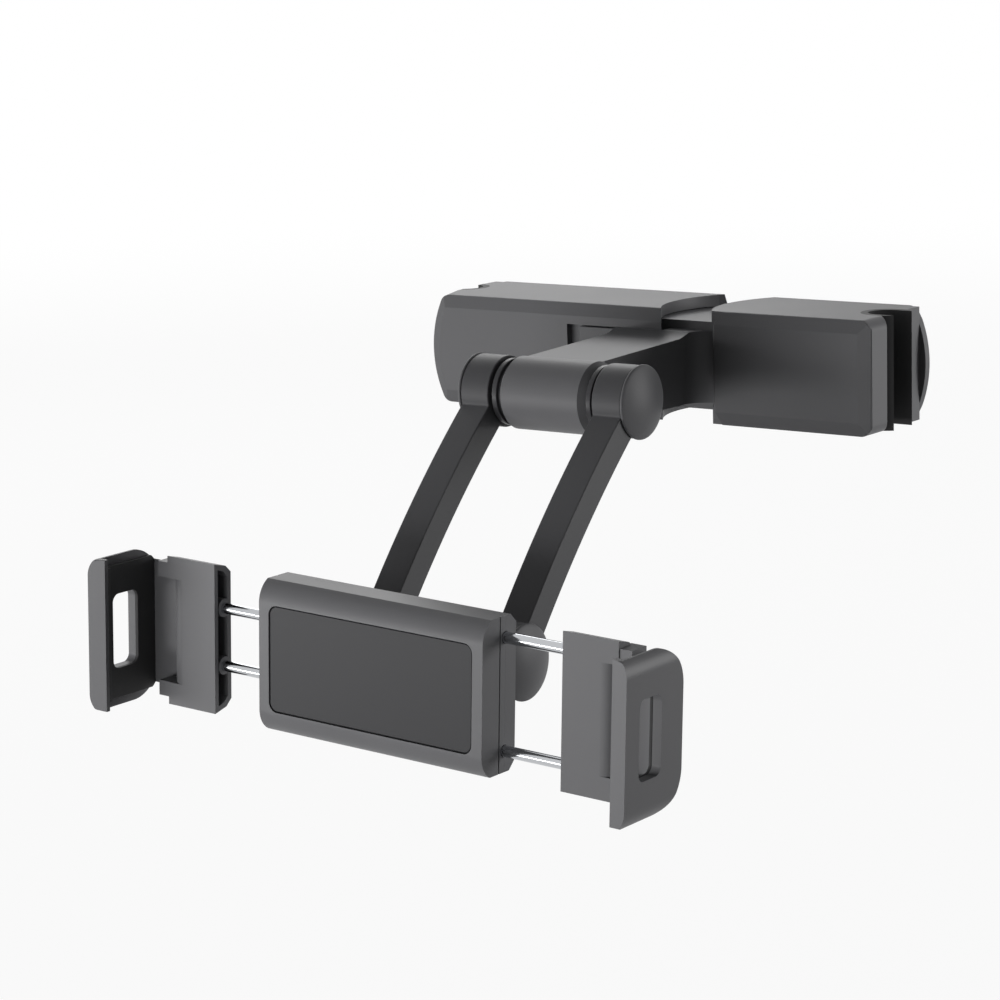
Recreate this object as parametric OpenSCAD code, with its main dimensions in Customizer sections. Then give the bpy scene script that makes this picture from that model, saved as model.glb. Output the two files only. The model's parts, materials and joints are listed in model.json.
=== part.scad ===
// Headrest tablet mount: a clamp bar that spreads between two headrest posts,
// a short arm, a pair of arched links and a tablet holder on a ball joint.
// X runs along the clamp, Y away from the viewer, Z up. The origin is the axis of
// the left headrest post at mid height of the clamp.

/* [Clamp bar] */
// Distance between the two headrest posts as shown
post_spacing = 180; // [176:1:196]
// Diameter of a headrest post
post_d = 13; // [10:0.5:14]
// Height of the clamp bar
clamp_h = 40; // [38:1:46]
// Distance from the post axis to the front face
clamp_front = 24; // [23:0.5:28]
// Distance from the post axis to the rear face
clamp_rear = 21; // [20:0.5:24]
// Thickness of the front cover plates
front_cover_t = 1.6; // [1.4:0.1:2]
// Thickness of the rear cover plates
cover_t = 3; // [2.5:0.1:4]
// Front wall of the two housings
front_wall = 3.6; // [3.2:0.1:4]
// Other walls of the two housings
wall = 2.2; // [1.8:0.1:2.6]
// Thickness of the rubber post liners
pad_t = 2.5; // [1.5:0.1:3]
// Length of the left unit to the right of the left post
left_len = 103; // [100:1:108]
// Length of the right unit to the left of the right post
right_len = 56; // [50:1:60]
// How far the front wall of the right unit reaches past the right post
front_tip = 6.4; // [4:0.2:8]
// Width of the bevelled band along the edges of a cover plate
bevel_w = 4.6; // [3:0.2:6]
// Depth of the bevelled band
bevel_d = 1.1; // [0.6:0.1:1.6]
// Bow of the curved end of a cover plate
end_bow = 5; // [3:0.5:7]
// Width of the bevel along the bowed left end
end_bevel_w = 3; // [2:0.2:4]
// Slant of the bowed left end seen from above
end_slant = 19.5; // [16:0.5:21]
// Width and depth of the shadow gap behind a front cover
seam_w = 0.4; // [0.3:0.05:0.5]
// Radius of the curved faces between the two units
nest_r = 38; // [34:1:50]

/* [Telescopic core] */
// Half height of the core rail
core_hz = 15.6; // [14:0.2:17]
// Wall of the core rail
core_wall = 2.4; // [2:0.1:3]
// Length of the core rail
core_len = 136; // [130:1:138]
// Sliding clearance between the parts that telescope
slide_gap = 0.3; // [0.2:0.05:0.4]

/* [Release slider] */
// Width of the slider tile
tile_w = 15.2; // [12:0.2:16]
// Height of the slider tile
tile_h = 23.6; // [18:0.2:26]
// Travel of the slider
tile_travel = 4.6; // [3:0.1:5]

/* [Arm] */
// Place of the arm along the clamp
arm_x = 99; // [98:0.5:100]
// Width of the arm
arm_w = 31; // [28:0.5:33]
// Height of the top of the arm above mid height, at the barrel
arm_top = 9; // [8:0.2:10]
// Rise of the top of the arm from the barrel to the root
arm_rise = 1.6; // [1:0.2:2.4]
// Depth of the underside of the arm below mid height, at the barrel
arm_bottom = 12.3; // [11:0.1:13]
// Drop of the underside of the arm towards the root
arm_drop = 1; // [0.4:0.2:1.2]
// Height of the flared root above mid height
root_top = 12.4; // [11.8:0.2:13.4]
// Radius of the flare at the right of the root
root_r = 9; // [6:0.5:10]
// Distance of the upper hinge axis in front of the post axis
hinge_y = 82.2; // [78:0.5:90]
// Depth of the upper hinge axis below mid height
hinge_z = 3; // [2:0.5:5]

/* [Hinges and links] */
// Radius of the hinge barrel
barrel_r = 12.6; // [11.5:0.1:13]
// Length of the hinge barrel
barrel_len = 35.2; // [33:0.5:38]
// Thickness of a friction washer
washer_t = 3.4; // [2:0.1:4]
// Radius of a friction washer
washer_r = 11.6; // [10.5:0.1:12]
// Gap between a washer and the link beside it
washer_gap = 0.3; // [0.2:0.05:0.4]
// Width of one link
link_w = 11.5; // [10:0.5:13]
// Thickness of one link
link_t = 10; // [8:0.5:12]
// Length of a link from axis to axis
link_len = 102.6; // [96:0.5:120]
// Angle of the links from straight down as shown
link_angle = 43.5; // [40:0.5:50]
// Radius of the arched centre line of a link
link_r = 434; // [350:5:600]
// Radius of the eye at each end of a link
eye_r = 12.4; // [11.5:0.1:12.8]
// Radius of the hinge axle
axle_r = 3; // [2.5:0.1:3.5]
// Radial running fit on an axle
axle_fit = 0.05; // [0.03:0.01:0.1]
// Height of the domed end caps
dome_h = 2.6; // [2:0.1:4]
// Radius of the barrel of the lower hinge
low_barrel_r = 9; // [8:0.2:9.4]

/* [Ball joint] */
// Radius of the ball
ball_r = 7.5; // [7:0.1:7.8]
// Distance from the lower hinge axis to the ball centre
ball_reach = 17.2; // [17:0.1:20]
// Wall of the ball liner
liner_t = 1.5; // [1.2:0.1:1.8]
// Clearance between ball, liner and socket
ball_fit = 0.1; // [0.05:0.05:0.15]
// Radius of the neck behind the ball
neck_r = 4.5; // [4:0.1:4.6]
// Outer radius of the collar nut
collar_r = 12.8; // [12.8:0.1:13.4]

/* [Tablet holder] */
// Turn of the holder in its ball joint as shown
holder_turn = 2.64; // [-6:0.1:6]
// Length of the holder body
body_w = 89.6; // [86:1:100]
// Height of the holder body
body_h = 50.8; // [49:1:58]
// Depth of the front shell ahead of the seam
shell_front = 12.2; // [11.6:0.2:13]
// Depth of the rear shell behind the seam
shell_rear = 5.6; // [5:0.1:6.4]
// Wall of the holder shells
shell_wall = 2; // [1.6:0.1:2.4]
// Height of the rounded band along the front edges
edge_run = 7.5; // [7:0.1:7.6]
// Depth of the rounded band along the front edges
edge_back = 4.6; // [4:0.1:5]
// Width of the face plate
plate_w = 81; // [70:1:82]
// Height of the face plate
plate_h = 35.2; // [30:0.5:36]
// Thickness of the face plate
plate_t = 1.4; // [1.2:0.1:1.8]

/* [Rods and jaws] */
// Diameter of the chrome rods
rod_d = 3.8; // [3.5:0.1:4.2]
// Height of the outer pair of rods from the middle
rod_outer = 18.4; // [17.8:0.1:19]
// Height of the inner pair of rods from the middle
rod_inner = 9.9; // [9.6:0.1:10.6]
// Gap between the body and a jaw as shown
jaw_out = 25; // [24:0.5:32]
// Travel of a jaw from as shown to closed
jaw_close = 24.5; // [20:0.5:24.5]
// Travel of a jaw from as shown to fully out
jaw_open = 8; // [4:0.5:10]
// Width of the back plate of a jaw
jaw_plate_w = 20.5; // [18:0.5:24]
// Height of a jaw
jaw_h = 52; // [48:1:58]
// Distance from the inner end of a jaw to its outer face
jaw_reach = 37.2; // [36:0.4:42]
// Depth of a jaw ahead of the seam
jaw_fore = 26; // [24:0.5:28]
// Depth of a jaw behind the seam
jaw_aft = 5.4; // [5:0.2:7]
// Wall of a jaw
jaw_wall = 3.2; // [3:0.1:3.6]
// Width of the front lip of a jaw
lip_w = 6.2; // [6:0.2:9]
// How far the inner edge of the lip lies behind its outer edge
lip_slant = 1.6; // [1:0.2:2]
// Thickness of the rubber liner in a jaw
jaw_pad_t = 1.2; // [0.8:0.1:1.4]

/* [Hidden] */
$fn = 72;
eps = 0.01;

// Places along the clamp bar
half_h = clamp_h / 2;
front_y = -clamp_front;
rear_y = clamp_rear;
house_front_y = front_y + front_cover_t;
house_rear_y = rear_y - cover_t;
core_front_y = house_front_y + front_wall + slide_gap;
core_rear_y = house_rear_y - wall - slide_gap;
post_r = post_d / 2;
notch_r = post_r + pad_t;
corner_r = 4;
right_x = post_spacing;
right_start_x = right_x - right_len;
right_tip_x = right_x + front_tip;
rear_end_inset = 1;
bow_r = (half_h * half_h + end_bow * end_bow) / (2 * end_bow);
left_end_x = 1.5;
right_rear_end_x = right_x + 5.4;
core_x0 = 22;
core_end_x = core_x0 + core_len;
tile_x = 67.6;
tile_gap = 0.5;
tile_pocket = 1.2;
tile_z = 0;
rail_hz = 5;
rail_t = 3;
rail_y = core_front_y + core_wall + 4.4;
screw_r = 1.5;
screw_head_r = 2.7;
screw_head_h = 1.6;
arm_screw_x = 9;
arm_screw_z = [-7, 6];
core_screw_x = core_x0 + 14;
core_screw_z = [-8, 8];

// Places of the hinges and the holder
washer_end = barrel_len / 2 + washer_t;
link_x0 = washer_end + washer_gap;
link_x1 = link_x0 + link_w;
low_y = -hinge_y - link_len * sin(link_angle);
low_z = -hinge_z - link_len * cos(link_angle);
axle_bore_r = axle_r + axle_fit;
cap_r = eye_r + 0.3;
cap_rim = 1;
nut_r = 5.4;
nut_h = 2.2;
ball_y = low_y - ball_reach;
ball_z = low_z - 1;
liner_in = ball_r + ball_fit;
liner_out = liner_in + liner_t;
socket_r = liner_out + ball_fit;
boss_r = socket_r + 1.6;
ring_top = 4.6;
seam_to_ball = 10.2;
collar_face = ring_top + 0.2;
rod_r = rod_d / 2;
rod_hole_r = rod_r + 0.15;
half_w = body_w / 2;
body_hz = body_h / 2;
jaw_x0 = half_w + jaw_out;
jaw_x1 = jaw_x0 + jaw_reach;
jaw_hz = jaw_h / 2;
jaw_plate_y0 = -5.1;
jaw_plate_y1 = 3.2;
lip_back_y = -jaw_fore + jaw_wall;
rod_in_x = -(half_w - shell_wall - jaw_close - 1.2);
rod_grip = 6;
spring_wire = 0.32;
spring_r = rod_r + 0.1 + spring_wire;

// Extrudes a shape drawn in Y and Z along X
module along_x(x0, x1) {
    translate([x0, 0, 0]) rotate([90, 0, 90]) linear_extrude(x1 - x0) children();
}

// Extrudes a shape drawn in X and Z along Y
module along_y(y0, y1) {
    translate([0, y1, 0]) rotate([90, 0, 0]) linear_extrude(y1 - y0) children();
}

// Extrudes a shape drawn in X and Y along Z
module along_z(z0, z1) {
    translate([0, 0, z0]) linear_extrude(z1 - z0) children();
}

// Box between two corners
module box(a, b) {
    translate(a) cube(b - a);
}

// Cylinder along X between two stations
module rod_x(x0, x1, r) {
    translate([x0, 0, 0]) rotate([0, 90, 0]) cylinder(h = x1 - x0, r = r);
}

// Cylinder along Y between two stations
module rod_y(y0, y1, r) {
    translate([0, y0, 0]) rotate([-90, 0, 0]) cylinder(h = y1 - y0, r = r);
}

// Flat rectangle with round corners between two corners
module round_rect(a, b, r) {
    translate([a[0] + r, a[1]]) square([b[0] - a[0] - 2 * r, b[1] - a[1]]);
    translate([a[0], a[1] + r]) square([b[0] - a[0], b[1] - a[1] - 2 * r]);
    for (x = [a[0] + r, b[0] - r]) for (y = [a[1] + r, b[1] - r]) translate([x, y]) circle(r);
}

// Pan head screw along -Y with a hexagon socket, its head seat at the origin
module screw(len) {
    difference() {
        union() {
            rod_y(-len, 0.5, screw_r);
            rod_y(0, screw_head_h, screw_head_r);
        }
        rotate([-90, 0, 0]) translate([0, 0, 0.6]) cylinder(h = screw_head_h, r = 1.3, $fn = 6);
    }
}

// Close wound coil along X, drawn as a ribbed sleeve
module coil(x0, x1, mean_r, wire_r) {
    turns = floor((x1 - x0) / (2.2 * wire_r));
    step = (x1 - x0) / turns;
    ribs = [for (i = [0 : turns - 1]) for (k = [0, 1]) [mean_r + (k == 0 ? 0.2 : 1) * wire_r, (i + k / 2) * step]];
    translate([x0, 0, 0]) rotate([0, 90, 0]) rotate_extrude()
        polygon(concat([[mean_r - wire_r, 0]], ribs, [[mean_r + 0.2 * wire_r, x1 - x0], [mean_r - wire_r, x1 - x0]]));
}

// How far the bowed end has moved in at height z
function bow_in(z) = bow_r - sqrt(bow_r * bow_r - z * z);

// Outline in X and Z of a unit whose left end is bowed
module bowed_outline(end_x, far_x) {
    knee = half_h - corner_r;
    round_rect([end_x + bow_in(knee) + 0.3, -half_h], [far_x + corner_r, half_h], corner_r);
    intersection() {
        translate([end_x + bow_r, 0]) circle(bow_r, $fn = 180);
        translate([end_x - 1, -knee - 1.4]) square([bow_r / 2, 2 * knee + 2.8]);
    }
}

// Body of the left unit seen from the front, its bowed end slanted in plan
module left_outline() {
    translate([left_end_x, front_y, 0]) rotate([0, 0, end_slant]) along_y(-60, 60)
        bowed_outline(0, left_len + 45);
}

// Shadow gap along the top and bottom edges of a housing, behind its front cover
module seam_gap(x0, x1) {
    for (s = [0, 1]) mirror([0, 0, s])
        box([x0, house_front_y - 1, half_h - seam_w], [x1, house_front_y + seam_w, half_h + 1]);
}

// Cuts the bevelled bands of a cover plate, drawn for a plate that faces -Y
module bevelled_plate(y0, y1) {
    intersection() {
        children();
        along_x(-60, 300) polygon([[y0, half_h - bevel_w], [y0 + bevel_d, half_h], [y1, half_h],
            [y1, -half_h], [y0 + bevel_d, -half_h], [y0, bevel_w - half_h]]);
    }
}

// Channel of one headrest post, open towards -X
module post_channel(r, reach) {
    translate([0, 0, -half_h - 1]) cylinder(h = clamp_h + 2, r = r);
    box([-reach, -r, -half_h - 1], [0, r, half_h + 1]);
}

// Rubber liner of one post channel, open towards -X
module post_liner(front_reach, rear_reach) {
    difference() {
        union() {
            translate([0, 0, -half_h]) cylinder(h = clamp_h, r = notch_r);
            box([-front_reach, -notch_r, -half_h], [0, 0, half_h]);
            if (rear_reach > 0) box([-rear_reach, 0, -half_h], [0, notch_r, half_h]);
        }
        post_channel(post_r, 20);
        if (rear_reach < 0) box([-20, 0, -half_h - 1], [-rear_reach, 20, half_h + 1]);
    }
}

// Concave cylinder that ends the left unit, centred behind the gap
module nest_cut(x_front, extra) {
    sag = nest_r - sqrt(nest_r * nest_r - pow((clamp_front + clamp_rear) / 2, 2));
    cx = x_front - sag + nest_r;
    translate([cx, (front_y + rear_y) / 2, -half_h - 1]) cylinder(h = clamp_h + 2, r = nest_r + extra, $fn = 180);
}

// Screw places on the cover plates of a unit
function cover_screw_x(x0, x1) = [x0 + 9, x1 - 9];

// Front cover of the left unit with the window of the release slider
module left_front_cover() {
    end_slope = end_bevel_w / bevel_d;
    color("#5b5b5b") difference() {
        bevelled_plate(front_y, house_front_y) intersection() {
            left_outline();
            box([left_end_x - 5, front_y, -half_h - 1], [left_len + 2, house_front_y, half_h + 1]);
            union() {
                translate([left_end_x + bow_r, front_y - 1, 0]) rotate([-90, 0, 0])
                    cylinder(h = front_cover_t + 2, r1 = bow_r - end_bevel_w - end_slope,
                        r2 = bow_r - end_bevel_w + end_slope * (front_cover_t + 1), $fn = 180);
                box([left_end_x + bow_r, front_y - 1, -half_h - 2], [left_len + 5, house_front_y + 1, half_h + 2]);
            }
        }
        nest_cut(left_len, 0);
        box([tile_x - tile_travel - tile_gap, front_y - 1, tile_z - tile_h / 2 - tile_gap],
            [tile_x + tile_w + tile_gap, house_front_y + 1, tile_z + tile_h / 2 + tile_gap]);
    }
}

// Housing of the left unit: post channel at the left, open box for the core at the right
module left_housing() {
    color("#6a6a6a") difference() {
        intersection() {
            left_outline();
            box([left_end_x - 22, house_front_y, -half_h - 1], [left_len + 2, house_rear_y, half_h + 1]);
        }
        nest_cut(left_len, 0);
        seam_gap(left_end_x - 20, left_len + 5);
        box([tile_x - tile_travel - tile_gap, house_front_y - 1, tile_z - tile_h / 2 - tile_gap],
            [tile_x + tile_w + tile_gap, house_front_y + tile_pocket, tile_z + tile_h / 2 + tile_gap]);
        post_channel(notch_r, 20);
        box([-20, 0, -half_h - 1], [rear_end_inset, house_rear_y + 1, half_h + 1]);
        box([core_x0 - slide_gap, core_front_y - slide_gap, -core_hz - slide_gap],
            [left_len + 1, core_rear_y + slide_gap, core_hz + slide_gap]);
        box([tile_x - tile_travel - tile_gap, house_front_y - 1, -5], [tile_x + 8, core_front_y, 5]);
        for (x = cover_screw_x(notch_r, left_len)) for (s = [-1, 1])
            translate([x, house_rear_y, s * (half_h - 2.4)]) rod_y(-8, 1, screw_r);
        for (z = core_screw_z) translate([core_screw_x, house_rear_y - screw_head_h, z]) {
            rod_y(-2, 1, screw_r);
            rod_y(0, 3, screw_head_r);
        }
    }
}

// Rear cover of the left unit
module left_rear_cover() {
    color("#565656") difference() {
        mirror([0, 1, 0]) bevelled_plate(-rear_y, -house_rear_y)
            along_y(-rear_y, -house_rear_y) round_rect([rear_end_inset, -half_h], [left_len + 4, half_h], corner_r);
        nest_cut(left_len, 0);
        for (x = cover_screw_x(notch_r, left_len)) for (s = [-1, 1])
            translate([x, rear_y - bevel_d - screw_head_h, s * (half_h - 2.4)]) {
                rod_y(-cover_t, 0.1, screw_r);
                rod_y(0, 6, screw_head_r);
            }
    }
}

// Four screws of the left rear cover
module left_cover_screws() {
    color("#2a2a2c") for (x = cover_screw_x(notch_r, left_len)) for (s = [-1, 1])
        translate([x, rear_y - bevel_d - screw_head_h, s * (half_h - 2.4)]) screw(7);
}

// Rubber liner of the left post
module left_post_liner() {
    color("#1c1c1c") intersection() {
        post_liner(2.5, -rear_end_inset);
        translate([0.6, 0, 0]) left_outline();
    }
}

// Telescopic core rail: a tube fixed in the left unit that carries the right unit
module core_rail() {
    slot_x0 = tile_x - tile_travel - tile_gap;
    color("#5e5e5e") difference() {
        box([core_x0, core_front_y, -core_hz], [core_end_x, core_rear_y, core_hz]);
        box([core_x0 + core_wall, core_front_y + core_wall, -core_hz + core_wall],
            [core_end_x + 1, core_rear_y - core_wall, core_hz - core_wall]);
        box([slot_x0, core_front_y - 1, -5], [tile_x + 8, core_front_y + core_wall + 1, 5]);
        for (z = arm_screw_z) translate([arm_x + arm_screw_x, core_front_y, z]) rod_y(-1, core_wall + 1, screw_r);
        for (z = core_screw_z) translate([core_screw_x, core_rear_y, z]) rod_y(-core_wall - 1, 1, screw_r);
    }
}

// Two screws that hold the core rail in the left unit from behind
module core_screws() {
    color("#8d8f92") for (z = core_screw_z)
        translate([core_screw_x, house_rear_y - screw_head_h, z])
            screw(wall + slide_gap + core_wall - screw_head_h);
}

// Release slider: tile in the window, neck through the housing and foot on the core
module release_slider() {
    color("#4e4e4e") {
        box([tile_x, front_y + 0.2, tile_z - tile_h / 2],
            [tile_x + tile_w, house_front_y + tile_pocket - slide_gap, tile_z + tile_h / 2]);
        box([tile_x + 1, house_front_y, -4], [tile_x + 7, core_front_y + core_wall + 1.4, 4]);
    }
}

// Brake shoe on the foot of the slider, close to the slide rail
module brake_shoe() {
    color("#1c1c1c") box([tile_x - 1, core_front_y + core_wall + 1.4, -4.6],
        [tile_x + 10, rail_y - slide_gap, 4.6]);
}

// Spring that pushes the slider back to the right
module slider_spring() {
    color("#c4c6c8") translate([0, core_front_y + core_wall / 2, 0])
        coil(tile_x - tile_travel - tile_gap, tile_x + 1, 1, 0.25);
}

// Front cover of the right unit with bevelled bands on four sides
module right_front_cover() {
    cut_x = 3;
    cut_z = bevel_w + 1;
    far_x = right_start_x + 2 * cut_x;
    far_z = half_h + cut_z;
    color("#595959") bevelled_plate(front_y, house_front_y) intersection() {
        along_y(front_y, house_front_y) intersection() {
            polygon([[right_start_x, half_h - cut_z], [far_x, far_z], [right_tip_x + 1, far_z],
                [right_tip_x + 1, -far_z], [far_x, -far_z], [right_start_x, cut_z - half_h]]);
            round_rect([right_start_x - 20, -half_h], [right_tip_x, half_h], corner_r);
        }
        along_z(-half_h - 1, half_h + 1) polygon([[right_start_x - 1, house_front_y + 1],
            [right_start_x - 1, front_y + 0.9], [right_start_x + 0.8, front_y], [right_tip_x - bevel_w, front_y],
            [right_tip_x, front_y + bevel_d], [right_tip_x + 1, house_front_y + 1]]);
    }
}

// Plan outline of the right unit with its convex left end
module right_plan(y0, y1) {
    sag = nest_r - sqrt(nest_r * nest_r - pow((clamp_front + clamp_rear) / 2, 2));
    cx = right_start_x - sag + nest_r;
    intersection() {
        union() {
            translate([cx, (front_y + rear_y) / 2]) circle(nest_r, $fn = 180);
            translate([cx - nest_r / 2, -60]) square([200, 120]);
        }
        translate([cx - nest_r, y0]) square([300, y1 - y0]);
    }
}

// Housing of the right unit: post channel at the right, pocket for the core at the left
module right_housing() {
    color("#666666") difference() {
        intersection() {
            along_z(-half_h - 1, half_h + 1) right_plan(house_front_y, house_rear_y);
            along_y(-60, 60) round_rect([right_start_x - 20, -half_h], [right_tip_x, half_h], corner_r);
        }
        seam_gap(right_start_x - 10, right_tip_x + 1);
        box([right_tip_x - seam_w, house_front_y - 1, -half_h - 1],
            [right_tip_x + 1, house_front_y + seam_w, half_h + 1]);
        translate([right_x, 0, 0]) mirror([1, 0, 0]) post_channel(notch_r, 20);
        box([right_x + 3, 0, -half_h - 1], [right_x + 20, house_rear_y + 1, half_h + 1]);
        along_z(-half_h - 1, half_h + 1) polygon([[right_tip_x - 5, -notch_r + 1],
            [right_tip_x + 1, -notch_r + 1], [right_tip_x + 1, -notch_r - 3.2]]);
        box([0, core_front_y - slide_gap, -core_hz - slide_gap],
            [right_x - notch_r - wall, core_rear_y + slide_gap, core_hz + slide_gap]);
        box([0, house_front_y - 1, -root_top - 1.6], [right_start_x + 8, core_front_y, root_top + 1.6]);
        for (x = cover_screw_x(right_start_x, right_x - notch_r)) for (s = [-1, 1])
            translate([x, house_rear_y, s * (half_h - 2.4)]) rod_y(-8, 1, screw_r);
    }
}

// Rear cover of the right unit with its bowed right end
module right_rear_cover() {
    color("#5c5c5c") difference() {
        mirror([0, 1, 0]) bevelled_plate(-rear_y, -house_rear_y) intersection() {
            along_y(-rear_y, -house_rear_y) mirror([1, 0]) bowed_outline(-right_rear_end_x, -right_start_x + 20);
            mirror([0, 1, 0]) along_z(-half_h, half_h) right_plan(house_rear_y, rear_y);
        }
        for (x = cover_screw_x(right_start_x, right_x - notch_r)) for (s = [-1, 1])
            translate([x, rear_y - bevel_d - screw_head_h, s * (half_h - 2.4)]) {
                rod_y(-cover_t, 0.1, screw_r);
                rod_y(0, 6, screw_head_r);
            }
    }
}

// Four screws of the right rear cover
module right_cover_screws() {
    color("#2a2a2c") for (x = cover_screw_x(right_start_x, right_x - notch_r)) for (s = [-1, 1])
        translate([x, rear_y - bevel_d - screw_head_h, s * (half_h - 2.4)]) screw(7);
}

// Rubber liner of the right post
module right_post_liner() {
    color("#1a1a1a") translate([right_x, 0, 0]) mirror([1, 0, 0]) post_liner(1, 3);
}

// Rail of the right unit that slides inside the core and is held by the brake shoe
module slide_rail() {
    foot_x = right_x - notch_r - wall;
    color("#9a9c9f") {
        box([tile_x - 14, rail_y, -rail_hz], [foot_x, rail_y + rail_t, rail_hz]);
        box([foot_x - 6, rail_y, -rail_hz], [foot_x, rail_y + 12, rail_hz]);
    }
}

// Plan of the arm root relative to the arm centre, with a concave flare at the right
module arm_plan() {
    hw = arm_w / 2;
    y_core = core_front_y;
    difference() {
        translate([-hw, -hinge_y]) square([2 * hw + root_r, hinge_y + y_core]);
        translate([hw + root_r, y_core - root_r]) circle(root_r);
        translate([hw, -hinge_y - 1]) square([root_r + 1, hinge_y + 1 + y_core - root_r]);
        translate([-hw - 1, front_y]) square([left_len + slide_gap - arm_x + hw + 1, 20]);
    }
}

// Side view of the arm in Y and Z, rising to the clamp in a concave sweep
module arm_side() {
    sweep_r = 16;
    foot = arm_top + arm_rise;
    rise = root_top - foot;
    foot_y = front_y - 0.6 - sqrt(sweep_r * sweep_r - pow(sweep_r - rise, 2));
    difference() {
        polygon([[-hinge_y, -arm_bottom], [-hinge_y, arm_top], [foot_y, foot], [foot_y, root_top],
            [0, root_top], [0, -arm_bottom - arm_drop]]);
        translate([foot_y, foot + sweep_r]) circle(sweep_r, $fn = 180);
    }
}

// Hinge barrel with bevelled ends along X, centred on the origin
module barrel(r, len, edge) {
    rotate([0, 90, 0]) rotate_extrude() polygon([[0, -len / 2], [r - edge, -len / 2], [r, -len / 2 + edge * 0.9],
        [r, len / 2 - edge * 0.9], [r - edge, len / 2], [0, len / 2]]);
}

// Arm: flared root, tapering beam and hinge barrel in one moulding
module arm() {
    color("#6b6b6b") difference() {
        union() {
            intersection() {
                translate([arm_x, 0, 0]) along_z(-half_h, half_h) arm_plan();
                along_x(0, 200) arm_side();
            }
            translate([arm_x, -hinge_y, -hinge_z]) barrel(barrel_r, barrel_len, 2.2);
        }
        translate([0, -hinge_y, -hinge_z]) rod_x(0, 200, axle_bore_r);
        for (z = arm_screw_z) translate([arm_x + arm_screw_x, core_front_y, z]) rod_y(-8, 1, screw_r);
    }
}

// Screws that hold the arm to the core from inside
module arm_screws() {
    color("#8d8f92") for (z = arm_screw_z)
        translate([arm_x + arm_screw_x, core_front_y + core_wall, z]) screw(8 + core_wall);
}

// Friction washer along X from the origin outwards
module washer_pair() {
    for (s = [0, 1]) mirror([s, 0, 0]) difference() {
        translate([barrel_len / 2, 0, 0]) rotate([0, 90, 0]) rotate_extrude()
            polygon([[axle_bore_r, 0], [washer_r - 1.4, 0], [washer_r - 1.4, 0.7], [washer_r, 0.7],
                [washer_r, washer_t - 0.7], [washer_r - 1.4, washer_t - 0.7], [washer_r - 1.4, washer_t],
                [axle_bore_r, washer_t]]);
    }
}

// Friction washers of the upper hinge
module upper_washers() {
    color("#3c3c3c") translate([arm_x, -hinge_y, -hinge_z]) washer_pair();
}

// Friction washers of the lower hinge
module lower_washers() {
    color("#3c3c3c") translate([arm_x, low_y, low_z]) washer_pair();
}

// Side view of a link in its own frame: the chord runs along +X of the drawing
module link_side() {
    rise = sqrt(link_r * link_r - link_len * link_len / 4);
    circle(eye_r);
    translate([link_len, 0]) circle(eye_r);
    intersection() {
        translate([link_len / 2, -rise]) difference() {
            circle(link_r + link_t / 2, $fn = 360);
            circle(link_r - link_t / 2, $fn = 360);
        }
        translate([0, -link_t]) square([link_len, 3 * link_t]);
    }
}

// One link between two stations along X, measured from the arm centre
module link(x0, x1) {
    difference() {
        translate([arm_x, -hinge_y, -hinge_z]) along_x(x0, x1)
            rotate(-90 - link_angle) mirror([0, 1]) link_side();
        translate([0, -hinge_y, -hinge_z]) rod_x(0, 200, axle_r);
        translate([0, low_y, low_z]) rod_x(0, 200, axle_r);
    }
}

// Left link
module left_link() {
    color("#474747") link(-link_x1, -link_x0);
}

// Right link
module right_link() {
    color("#474747") link(link_x0, link_x1);
}

// Axle with a head at the left and a nut at the right, centred on the origin
module axle() {
    rod_x(-link_x1 - nut_h, link_x1 + nut_h, axle_r);
    rod_x(-link_x1 - nut_h, -link_x1, nut_r);
    translate([link_x1, 0, 0]) rotate([0, 90, 0]) cylinder(h = nut_h, r = nut_r, $fn = 6);
}

// Axle of the upper hinge
module upper_axle() {
    color("#b9bbbd") translate([arm_x, -hinge_y, -hinge_z]) axle();
}

// Axle of the lower hinge
module lower_axle() {
    color("#b9bbbd") translate([arm_x, low_y, low_z]) axle();
}

// Pair of domed end caps that hide the ends of an axle
module cap_pair() {
    dome_r = (cap_r * cap_r + dome_h * dome_h) / (2 * dome_h);
    for (s = [0, 1]) mirror([s, 0, 0]) translate([link_x1, 0, 0]) rotate([0, 90, 0]) difference() {
        rotate_extrude() intersection() {
            union() {
                square([cap_r, cap_rim]);
                intersection() {
                    translate([0, cap_rim + dome_h - dome_r]) circle(dome_r, $fn = 180);
                    translate([0, cap_rim - eps]) square([cap_r, 10]);
                }
            }
            square([cap_r, 10]);
        }
        translate([0, 0, -1]) cylinder(h = nut_h + 0.1 + 1, r = nut_r + 0.2);
    }
}

// Domed caps of the upper hinge
module upper_caps() {
    color("#666666") translate([arm_x, -hinge_y, -hinge_z]) cap_pair();
}

// Domed caps of the lower hinge
module lower_caps() {
    color("#545454") translate([arm_x, low_y, low_z]) cap_pair();
}

// Barrel of the lower hinge with the seat of the ball stud
module tilt_block() {
    color("#565656") difference() {
        union() {
            translate([arm_x, low_y, low_z]) barrel(low_barrel_r, barrel_len, 1.6);
            translate([arm_x, low_y, ball_z]) rod_y(-low_barrel_r - 0.6, 0, neck_r + 2.4);
        }
        translate([0, low_y, low_z]) rod_x(0, 200, axle_bore_r);
        translate([arm_x, low_y, ball_z]) rod_y(-low_barrel_r - 2, -axle_bore_r - 1.2, 3);
    }
}

// Ball stud: ball, neck and the shank that sits in the tilt block
module ball_stud() {
    color("#a9abae") translate([arm_x, 0, ball_z]) {
        translate([0, ball_y, 0]) sphere(ball_r);
        rod_y(ball_y + 2, low_y - low_barrel_r - 0.6, neck_r);
        rod_y(ball_y + 2, low_y - axle_bore_r - 1.2, 3);
    }
}

// Zone of the liner sphere between two stations along Y from the ball centre
module liner_zone(y0, y1) {
    difference() {
        intersection() {
            sphere(liner_out);
            rod_y(y0, y1, 20);
        }
        sphere(liner_in);
    }
}

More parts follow.
